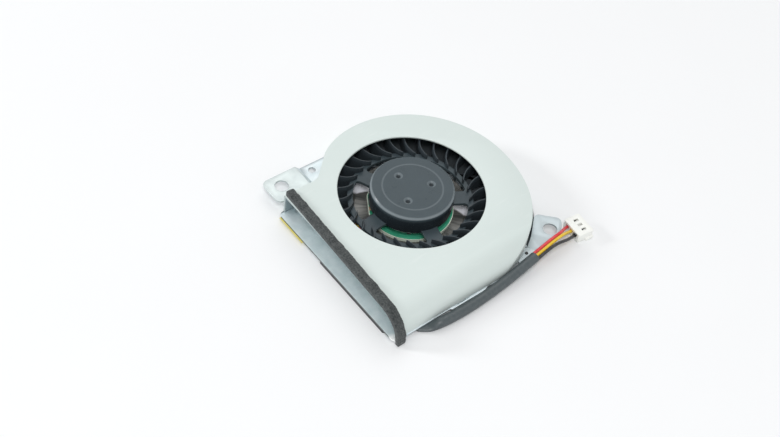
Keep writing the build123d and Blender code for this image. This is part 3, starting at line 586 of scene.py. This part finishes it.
def meshFrom(work, name):
    mesh = bpy.data.meshes.new(name)
    work.to_mesh(mesh)
    work.free()
    return mesh


def skinRows(work, rows):  # faces between rings of points, where a ring of one point is a pole
    for low, high in zip(rows, rows[1:]):
        for step in range(max(len(low), len(high))):
            near, far = ([row[(step + side) % len(row)] for side in (0, 1)] for row in (low, high))
            work.faces.new(list(dict.fromkeys(near + far[::-1])))


def closedMesh(work, name):
    bmesh.ops.recalc_face_normals(work, faces=work.faces)
    return meshFrom(work, name)


def smoothByAngle(mesh, degreesApart):
    mesh.shade_smooth()
    mesh.set_sharp_from_angle(angle=radians(degreesApart))


# A CAD piece with its sharp edges broken: angles in degrees, and the distance under which points are one
edgeLimits = {"weld": 0.002, "flat": 0.4, "sharp": 30, "smooth": 40}


def brokenEdges(node, name, width, finish, segments=2):
    source = frame["nodes"][node]
    work = bmesh.new()
    work.from_mesh(source.data)
    bmesh.ops.remove_doubles(work, verts=work.verts, dist=edgeLimits["weld"] * mm)
    flat = radians(edgeLimits["flat"])
    bmesh.ops.dissolve_limit(work, angle_limit=flat, verts=work.verts, edges=work.edges)
    rough = newObject(name + "Rough", meshFrom(work, name + "Rough"))
    bevel = rough.modifiers.new("edges", "BEVEL")
    bevel.width = width * mm
    bevel.segments = segments
    bevel.limit_method = "ANGLE"
    bevel.angle_limit = radians(edgeLimits["sharp"])
    bevel.use_clamp_overlap = False
    finished = asMesh(rough, name)
    smoothByAngle(finished, edgeLimits["smooth"])
    return newPiece(name, finished, materials[finish], source["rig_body"], node)


# Faces of the cover that look into the air channel get painted shade, and so does its cut edge over the
# outlet
coverShade = {"underside": 6.6, "ceiling": 0.15, "wall": 1.0, "cutEdge": 0.6, "cutEdgeFrom": -25}


def paintInsideShade(mesh, shade):
    paintedInsideShade = mesh.attributes.new("paintedInsideShade", "FLOAT", "FACE")
    under, edgeFrom = shade["underside"] * mm, shade["cutEdgeFrom"] * mm
    for face, paintedLightMark in zip(mesh.polygons, paintedInsideShade.data):
        middle, facing = face.center, face.normal
        inwards = -(facing.x * middle.x + facing.y * middle.y) / max(hypot(middle.x, middle.y), 1e-6)
        if facing.y < -0.7 and middle.y < edgeFrom:
            paintedLightMark.value = shade["cutEdge"]
        elif facing.z < -0.3 and middle.z > under / 2:
            paintedLightMark.value = shade["ceiling"]
        elif inwards > 0.25 and middle.z < under:
            paintedLightMark.value = shade["wall"]


coverSheet = brokenEdges("cover", "coverSheet", 0.12, "cover", 3)
paintInsideShade(coverSheet.data, coverShade)
brokenEdges("base_plate", "basePlate", 0.06, "zinc")
brokenEdges("connector_housing", "plugHousing", 0.1, "plug")
print("sheet metal and plug dressed")


def turnedMesh(name, profile, steps):
    work = bmesh.new()
    rows = []
    for radius, height in profile:
        spots = [polar(radius, 360 * step / steps) for step in range(steps if radius else 1)]
        rows.append([work.verts.new((*(spot * mm), height * mm)) for spot in spots])
    skinRows(work, rows)
    return closedMesh(work, name)


def hubProfile(shape):
    top, radius, bevel = shape["hubTop"], shape["hubRadius"], shape["rimBevel"]
    rings, soft, foot = shape["hubRings"], shape["softEdge"], shape["footBevel"]
    line = [(0, top)]
    for ring in range(1, rings + 1):
        reach = (radius - bevel) * ring / rings
        off = (reach - shape["grooveRadius"]) / (shape["grooveWidth"] / 2)
        dip = shape["grooveDepth"] * max(0, 1 - off * off)
        line.append((reach, top - dip))
    line += [(radius - bevel + soft, top - soft), (radius - soft, top - bevel + soft)]
    line += [(radius, top - bevel - soft)]
    inner = radius - shape["hubWall"]
    bottom = shape["hubBottom"]
    line += [(radius, bottom + foot), (radius - foot, bottom), (inner, bottom)]
    line += [(inner, top - shape["hubCrown"]), (0, top - shape["hubCrown"])]
    return line


def dentDimples(mesh, shape):
    topFrom, flatTo = shape["hubTop"] - 0.2, shape["grooveRadius"] - 0.5
    for vertex in mesh.vertices:
        flat = Vector(vertex.co.xy) / mm
        if vertex.co.z / mm < topFrom or flat.length > flatTo:
            continue
        for centre in dimpleCentres(shape):
            share = (flat - centre).length / shape["dimpleRadius"]
            if share < 1:
                vertex.co.z -= shape["dimpleDepth"] * (1 - share**2) ** 1.5 * mm


def cornerArc(corner, start, end, radius, steps=6):
    first, last = start.normalized(), end.normalized()
    turn = first.angle_signed(last)
    points = []
    for step in range(steps + 1):
        way = Matrix.Rotation(-turn * step / steps, 2) @ first
        points.append(corner + way * radius)
    return points


def windowOutline(shape, spoke):
    radius = shape["windowRound"]
    side = shape["spokeWidth"] / 2 + radius
    here = shape["spokeAngle"] + 360 / shape["spokes"] * spoke
    there = here + 360 / shape["spokes"]

    def corner(reach, angle, hand):
        along = polar(sqrt(reach**2 - side**2), angle)
        return along + polar(side, angle + 90 * hand)

    inner, outer = shape["hubRadius"] - shape["overlap"], shape["ringInner"]
    points = []
    low, high = corner(inner + radius, here, 1), corner(outer - radius, here, 1)
    points += cornerArc(low, -low, polar(1, here - 90), radius)
    points += cornerArc(high, polar(1, here - 90), high, radius)
    first, last = points[-1], corner(outer - radius, there, -1)
    span = (last.normalized() * outer).angle_signed(first)
    for step in range(1, 12):
        points.append(Matrix.Rotation(span * step / 12, 2) @ first)
    points += cornerArc(last, last, polar(1, there + 90), radius)
    near = corner(inner + radius, there, -1)
    points += cornerArc(near, polar(1, there + 90), -near, radius)
    return points


def flatSpline(curve, points):
    spline = curve.splines.new("POLY")
    spline.points.add(len(points) - 1)
    for point, place in zip(spline.points, points):
        point.co = (place[0] * mm, place[1] * mm, 0, 1)
    spline.use_cyclic_u = True


def spokeMesh(shape):
    curve = bpy.data.curves.new("spokePlan", "CURVE")
    curve.dimensions = "2D"
    curve.fill_mode = "BOTH"
    edge = shape["spokeEdge"]
    hole = shape["hubRadius"] - shape["hubWall"] + shape["overlap"]
    curve.extrude = (shape["spokeThickness"] / 2 - edge) * mm
    curve.bevel_depth = edge * mm
    curve.bevel_resolution = 2
    curve.offset = -edge * mm
    for radius in (shape["ringOuter"], hole):
        flatSpline(curve, [polar(radius, angle) for angle in range(0, 360, 2)])
    for spoke in range(shape["spokes"]):
        flatSpline(curve, windowOutline(shape, spoke))
    mesh = asMesh(newObject("spokePlan", curve), "spokeMesh")
    mesh.transform(Matrix.Translation((0, 0, (shape["spokeTop"] - shape["spokeThickness"] / 2) * mm)))
    return mesh


def joined(name, meshes):
    work = bmesh.new()
    for mesh in meshes:
        work.from_mesh(mesh)
    return meshFrom(work, name)


def bladeTree(material, cuts):
    tree = bpy.data.node_groups.new("bladeRing", "GeometryNodeTree")
    tree.interface.new_socket("Geometry", in_out="INPUT", socket_type="NodeSocketGeometry")
    tree.interface.new_socket("Geometry", in_out="OUTPUT", socket_type="NodeSocketGeometry")
    names = ["Inner", "Outer", "Sweep", "Lean length", "Thickness", "Bottom"]
    names += ["Root top", "Tip top", "Shoulder", "Phase"]
    for name in names:
        tree.interface.new_socket(name, in_out="INPUT", socket_type="NodeSocketFloat")
    tree.interface.new_socket("Blades", in_out="INPUT", socket_type="NodeSocketInt")
    kit = Finish(tree)
    given = tree.nodes.new("NodeGroupInput")
    size = {name: Signal(kit, given.outputs[name]) for name in [*names, "Blades"]}
    counts = {"Vertices X": cuts[0], "Vertices Y": cuts[1], "Vertices Z": cuts[2]}
    block = kit.node("GeometryNodeMeshCube", inputs={"Size": (1, 1, 1), **counts})
    x, y, z = kit.split(kit.node("GeometryNodeInputPosition"))
    along, up = x + 0.5, z + 0.5
    run = (size["Outer"] - size["Inner"]) * along
    radius = size["Inner"] + run
    fade = run.maths("EXPONENT", run * -1 / size["Lean length"])
    lean = size["Sweep"] * (1 - fade)
    slope = radius * size["Sweep"] * fade / size["Lean length"]
    slant = (slope * slope + 1) ** 0.5
    ends = (x * 2).unsigned()
    tip = (up * 2 - 1).largest(0.0)
    slim = (1.0 - ends**20.0) ** 0.5 * 0.6 + 0.4
    slimTop = (1.0 - tip**14.0) ** 0.5 * 0.6 + 0.4
    half = y * size["Thickness"] * slim * slimTop
    turn = lean + half / (slant * radius)
    reach = radius - half * slope / slant
    heights = {"Value": radius, "From Min": size["Inner"] + 0.4 * mm, "From Max": size["Shoulder"]}
    heights.update({"To Min": size["Root top"], "To Max": size["Tip top"]})
    top = kit.node("ShaderNodeMapRange", inputs=heights)
    height = size["Bottom"] + (top - size["Bottom"]) * up
    across, deep = reach * turn.maths("COSINE", turn), reach * turn.maths("SINE", turn)
    place = kit.node("ShaderNodeCombineXYZ", inputs={0: across, 1: deep, 2: height})
    blade = kit.node("GeometryNodeSetPosition", inputs={"Geometry": block, "Position": place})
    for attribute, value in (("blade", 1.0), ("crestHighlight", kit.spread(up, 0.55, 1.0))):
        named = {"Geometry": blade, "Name": attribute, "Value": value}
        blade = kit.node("GeometryNodeStoreNamedAttribute", {"data_type": "FLOAT"}, named)
    spots = kit.node("GeometryNodePoints", inputs={"Count": size["Blades"], "Position": (0, 0, 0)})
    index = kit.node("GeometryNodeInputIndex")
    spin = index * 2 * pi / size["Blades"] + size["Phase"]
    facing = kit.node("ShaderNodeCombineXYZ", inputs={2: spin})
    facing = kit.node("FunctionNodeEulerToRotation", inputs={0: facing})
    placed = {"Points": spots, "Instance": blade, "Rotation": facing}
    ring = kit.node("GeometryNodeInstanceOnPoints", inputs=placed)
    join = tree.nodes.new("GeometryNodeJoinGeometry")
    tree.links.new(ring.socket, join.inputs[0])
    tree.links.new(given.outputs["Geometry"], join.inputs[0])
    whole = kit.node("GeometryNodeRealizeInstances", inputs={0: Signal(kit, join.outputs[0])})
    painted = kit.node("GeometryNodeSetMaterial", inputs={"Geometry": whole, "Material": material})
    out = tree.nodes.new("NodeGroupOutput")
    tree.links.new(painted.socket, out.inputs[0])
    return tree


def makeImpeller(shape):
    hub = turnedMesh("hubMesh", hubProfile(shape), shape["hubSteps"])
    dentDimples(hub, shape)
    body = newObject("impellerBody", joined("impellerBody", [hub, spokeMesh(shape)]))
    tree = bladeTree(materials["impeller"], shape["bladeCuts"])
    modifier = body.modifiers.new("blades", "NODES")
    modifier.node_group = tree
    values = {
        "Inner": shape["bladeInner"] * mm,
        "Outer": shape["bladeOuter"] * mm,
        "Sweep": radians(shape["bladeSweep"]),
        "Lean length": shape["leanLength"] * mm,
        "Thickness": shape["bladeThickness"] * mm,
        "Bottom": shape["bladeBottom"] * mm,
        "Root top": shape["rootTop"] * mm,
        "Tip top": shape["tipTop"] * mm,
        "Shoulder": shape["shoulder"] * mm,
        "Phase": radians(shape["bladePhase"]),
        "Blades": shape["blades"],
    }
    for item in tree.interface.items_tree:
        if item.item_type == "SOCKET" and item.name in values:
            modifier[item.identifier] = values[item.name]
    finished = asMesh(body, "impellerMoulding")
    smoothByAngle(finished, shape["smooth"])
    return newPiece("impellerMoulding", finished, materials["impeller"], "rotor", "impeller")


makeImpeller(impellerShape)
print("impeller made")

# Foam seal over the outlet: a strip that runs across the top and down the rolled side
foamShape = {
    "left": -15.1, "centre": -25.1, "skew": -1.8, "width": 2.3, "thickness": 1.1, "edgeRound": 0.35,
    "top": 7.0, "flatEnd": 22.65, "rollWidth": 6.0, "rollDrop": 5.2, "foot": 1.5, "wave": 0.22,
    "clearOfBase": 0.2, "overhang": 0.8, "waveGrain": 0.6, "fineGrain": 2.6, "fineWave": 0.45, "sink": 0.04,
    "endWidth": 0.35, "endHeight": 0.6, "smooth": 50,
}


def foamPath(shape):
    points = []
    length = shape["flatEnd"] - shape["left"]
    for step in range(120):
        points.append((shape["left"] + length * step / 120, shape["top"], 0.0, 1.0))
    for step in range(61):
        turn = radians(90 * step / 60)
        across, down = shape["rollWidth"], shape["rollDrop"]
        slopeX, slopeZ = sin(turn) / across, cos(turn) / down
        steep = hypot(slopeX, slopeZ)
        x = shape["flatEnd"] + across * sin(turn)
        z = shape["top"] - down + down * cos(turn)
        points.append((x, z, slopeX / steep, slopeZ / steep))
    x = shape["flatEnd"] + shape["rollWidth"]
    points.append((x, shape["foot"] + 0.3, 1.0, 0.0))
    for step in range(6):
        points.append((x + shape["clearOfBase"], shape["foot"] - shape["overhang"] * step / 5, 1.0, 0.0))
    return points


def foamSection(shape):
    half, thick, edge = shape["width"] / 2, shape["thickness"], shape["edgeRound"]
    ring = []
    for centreY, centreN, start in ((half - edge, thick - edge, 0), (edge - half, thick - edge, 90)):
        for step in range(5):
            turn = radians(start + 22.5 * step)
            ring.append((centreY + edge * cos(turn), centreN + edge * sin(turn)))
    for step in range(1, 5):
        ring.append((-half, (thick - edge) * (1 - step / 4)))
    for step in range(1, 10):
        ring.append((-half + 2 * half * step / 10, 0))
    for step in range(5):
        ring.append((half, (thick - edge) * step / 4 * 0.95))
    return ring


def makeFoam(shape):
    path, section = foamPath(shape), foamSection(shape)
    centreX = (shape["left"] + shape["flatEnd"] + shape["rollWidth"]) / 2
    lean = tan(radians(shape["skew"]))
    endWidth, endHeight = shape["endWidth"], shape["endHeight"]
    work = bmesh.new()
    rows = []
    for x, z, sideX, sideZ in path:
        fromEnd = (x - shape["left"]) / shape["edgeRound"] / 2
        shrink = sqrt(max(0.02, 1 - max(0, 1 - fromEnd) ** 2))
        row = []
        for across, out in section:
            across = across * (endWidth + (1 - endWidth) * shrink)
            out = out * (endHeight + (1 - endHeight) * shrink)
            spot = Vector((x, across, z + out))
            fine = noise.noise(spot * shape["fineGrain"]) * shape["fineWave"]
            wave = (noise.noise(spot * shape["waveGrain"]) + fine) * shape["wave"] * min(1, out)
            out += wave - shape["sink"] * min(1, out)
            y = shape["centre"] + lean * (x - centreX) + across * (1 + wave * 0.5)
            row.append(work.verts.new(((x + sideX * out) * mm, y * mm, (z + sideZ * out) * mm)))
        rows.append(row)
    skinRows(work, rows)
    work.faces.new(rows[0])
    work.faces.new(rows[-1][::-1])
    mesh = closedMesh(work, "foamSeal")
    smoothByAngle(mesh, shape["smooth"])
    return newPiece("outletFoamSeal", mesh, materials["outletFoam"], "housing", "outlet_foam")


foamSeal = makeFoam(foamShape)
lowerSeal = brokenEdges("lower_foam", "lowerFoamSeal", 0.15, "lowerFoam", 3)
print("foam seals made")

# Lead: sizes in millimetres, but its length in metres. The route's points are those of part.py.
leadShape = {
    "sleeveRadius": 1.25, "sleeveWall": 0.22, "wireRadius": 0.375, "length": 0.0344,
    "flatHalfWidth": 1.35, "flatHalfHeight": 0.46, "flatEnd": 2.0, "roundFrom": 5.4, "sides": 28,
    "start": (27.9, -19.85, 0.5), "gateAngle": 262, "wireLevel": 1.78, "underLevel": 0.5, "wirePitch": 0.85,
    "plugRear": (27.3, 27.4, 1.3), "plugAngle": 84, "plugPitch": 1.5, "plugEntry": -0.6, "plugEnd": 0.8,
    "smooth": 50,
}
flatStart = Vector(leadShape["start"])
sleeveRoute = [
    tuple(flatStart),
    (29.15, -18.3, 0.5),
    (29.85, -16.85, 0.6),
    (30.4, -15.2, 1.25),
    (30.7, -10.0, 1.25),
    (30.6, -4.9, 1.3),
    (30.3, 0.2, 1.5),
    (29.95, 5.0, 1.9),
    (29.6, 9.4, 2.4),
    (29.1, 13.7, 2.9),
]


def routeMesh(name, routes, radius):  # radius 0 gives only the line
    curve = bpy.data.curves.new(name, "CURVE")
    curve.dimensions = "3D"
    curve.resolution_u = 10
    curve.bevel_depth = radius * mm
    curve.bevel_resolution = 5
    curve.use_fill_caps = radius > 0
    for route in routes:
        spline = curve.splines.new("NURBS")
        spline.points.add(len(route) - 1)
        for point, place in zip(spline.points, route):
            point.co = (*(Vector(place) * mm), 1)
        spline.order_u = 3
        spline.use_endpoint_u = True
    return asMesh(newObject(name, curve), name)


def sleeveRing(work, shape, place, ahead, gone, inset):
    rounded = min(max((gone - shape["flatEnd"]) / (shape["roundFrom"] - shape["flatEnd"]), 0), 1)
    rounded = rounded * rounded * (3 - 2 * rounded)
    wide = shape["flatHalfWidth"] + (shape["sleeveRadius"] - shape["flatHalfWidth"]) * rounded
    high = shape["flatHalfHeight"] + (shape["sleeveRadius"] - shape["flatHalfHeight"]) * rounded
    side = ahead.cross(Vector((0, 0, 1))).normalized()
    upward = side.cross(ahead).normalized()
    middle = Vector(place)
    middle.z = max(middle.z, (high + 0.01) * mm)
    ring = []
    for step in range(shape["sides"]):
        turn = 2 * pi * step / shape["sides"]
        spot = middle + side * (cos(turn) * (wide - inset) * mm) + upward * (sin(turn) * (high - inset) * mm)
        ring.append(work.verts.new(spot))
    return ring


def makeSleeve(shape):
    line = routeMesh("sleeveLine", [sleeveRoute], 0)
    path = [vertex.co.copy() for vertex in line.vertices]
    work = bmesh.new()
    outer, inner, gone = [], [], 0
    for index, place in enumerate(path):
        before, after = path[max(index - 1, 0)], path[min(index + 1, len(path) - 1)]
        gone += (place - before).length / mm
        ahead = (after - before).normalized()
        outer.append(sleeveRing(work, shape, place, ahead, gone, 0))
        inner.append(sleeveRing(work, shape, place, ahead, gone, shape["sleeveWall"]))
    skinRows(work, outer + inner[::-1] + outer[:1])
    mesh = closedMesh(work, "sleeveTube")
    smoothByAngle(mesh, shape["smooth"])
    piece = newPiece("leadSleeve", mesh, materials["sleeve"], "housing", "cable_sleeve")
    return piece, [tuple(place) for place in path]


leadSleeve, sleevePath = makeSleeve(leadShape)


def plugPoints(shape, way):  # where a wire enters the plug and where it ends, in one of its three ways
    side = polar(shape["plugPitch"] * way, shape["plugAngle"] + 90)
    ends = [polar(depth, shape["plugAngle"]) + side for depth in (shape["plugEntry"], shape["plugEnd"])]
    return [tuple(Vector(shape["plugRear"]) + end.to_3d()) for end in ends]


underLevel, wireLevel, gateAngle = (leadShape[key] for key in ("underLevel", "wireLevel", "gateAngle"))
innerRoute = [
    (*polar(8.82, gateAngle), wireLevel),
    (*polar(11.4, gateAngle), wireLevel),
    (*polar(15.3, gateAngle), underLevel),
    (-0.6, -19.3, underLevel),
    (2.2, -21.9, underLevel),
    (7.0, -22.6, underLevel),
    (25.7, -22.6, underLevel),
    tuple(flatStart),
]
outerRoutes = {
    "red": [(28.25, 13.7, 2.95), (28.0, 17.2, 3.4), (27.5, 20.6, 3.45), (27.3, 23.8, 3.5)],
    "yellow": [(29.1, 13.75, 2.95), (28.8, 17.3, 3.45), (28.35, 20.7, 3.5), (28.0, 23.8, 3.3)],
    "black": [(29.95, 13.8, 2.95), (29.5, 17.3, 3.35), (29.25, 20.6, 3.3), (29.5, 24.0, 2.7)],
}
wireWays = {"red": 1, "yellow": 0, "black": -1}


def beside(points, offset):
    lefts = []
    for start, end in zip(points, points[1:]):
        run = Vector((end[0] - start[0], end[1] - start[1], 0)).normalized()
        lefts.append(Vector((-run.y, run.x, 0)))
    shifted = []
    for point, before, after in zip(points, lefts[:1] + lefts, lefts + lefts[-1:]):
        shifted.append(Vector(point) + (before + after) * (offset / (1 + before.dot(after))))
    return shifted


for wireName, way in wireWays.items():
    outerRoute = outerRoutes[wireName] + plugPoints(leadShape, way)
    routes = [beside(innerRoute, way * leadShape["wirePitch"]), outerRoute]
    wireMesh = routeMesh(wireName + "Wire", routes, leadShape["wireRadius"])
    smoothByAngle(wireMesh, leadShape["smooth"])
    wirePiece = newPiece(wireName + "LeadWire", wireMesh, materials[wireName], "housing", wireName + "_wire")
print("lead made")

# Studio: a pale floor, four soft lights around the fan, and an even white room
studio = {
    "floorSize": 4.0,
    "floorTones": [(0.90, 0.91, 0.92), (0.92, 0.93, 0.94)],
    "roomStrength": 0.5,
    "lights": [
        {"name": "keyLight", "azimuth": 45, "elevation": 62, "distance": 1.2, "size": 0.5, "power": 5.3},
        {"name": "backLight", "azimuth": 225, "elevation": 50, "distance": 1.4, "size": 1.1, "power": 3.1},
        {"name": "lowLight", "azimuth": 316, "elevation": 22, "distance": 1.2, "size": 0.26, "power": 4.6},
        {"name": "sideLight", "azimuth": 105, "elevation": 18, "distance": 1.2, "size": 0.6, "power": 0.9},
    ],
}


def makeFloor(setup):
    half = setup["floorSize"] / 2
    mesh = bpy.data.meshes.new("floor")
    corners = [(-half, -half, 0), (half, -half, 0), (half, half, 0), (-half, half, 0)]
    mesh.from_pydata(corners, [], [(0, 1, 2, 3)])
    floor = newObject("floor", mesh)
    finish = newMaterial("floorCard", roughness=0.9, specular=0.1)
    grain = finish.grain(finish.place(), 0.02, 2)
    connect(finish, baseColour=finish.blend(grain, *setup["floorTones"]))
    mesh.materials.append(finish.material)


def makeLights(setup):
    for light in setup["lights"]:
        data = bpy.data.lights.new(light["name"], "AREA")
        data.shape = "DISK"
        data.size = light["size"]
        data.energy = light["power"]
        lamp = newObject(light["name"], data)
        back = backFrom(radians(light["azimuth"]), radians(light["elevation"]))
        lamp.location = back * light["distance"]
        lamp.rotation_mode = "QUATERNION"
        lamp.rotation_quaternion = (-back).to_track_quat("-Z", "Y")


def makeRoom(setup):
    world = bpy.data.worlds.new("whiteRoom")
    world.use_nodes = True
    scene.world = world
    room = Finish(world.node_tree)
    light = world.node_tree.nodes["Background"]
    path = world.node_tree.nodes.new("ShaderNodeLightPath")
    rays = ("Is Camera Ray", "Is Glossy Ray", "Is Transmission Ray")
    direct, mirrored, through = (Signal(room, path.outputs[name]) for name in rays)
    plain = direct.largest(mirrored).largest(through)
    strength = plain * (1 - setup["roomStrength"]) + setup["roomStrength"]
    light.inputs["Color"].default_value = (1, 1, 1, 1)
    world.node_tree.links.new(strength.socket, light.inputs["Strength"])


makeFloor(studio)
makeLights(studio)
makeRoom(studio)
scene.view_settings.view_transform = "Standard"
print("studio ready")
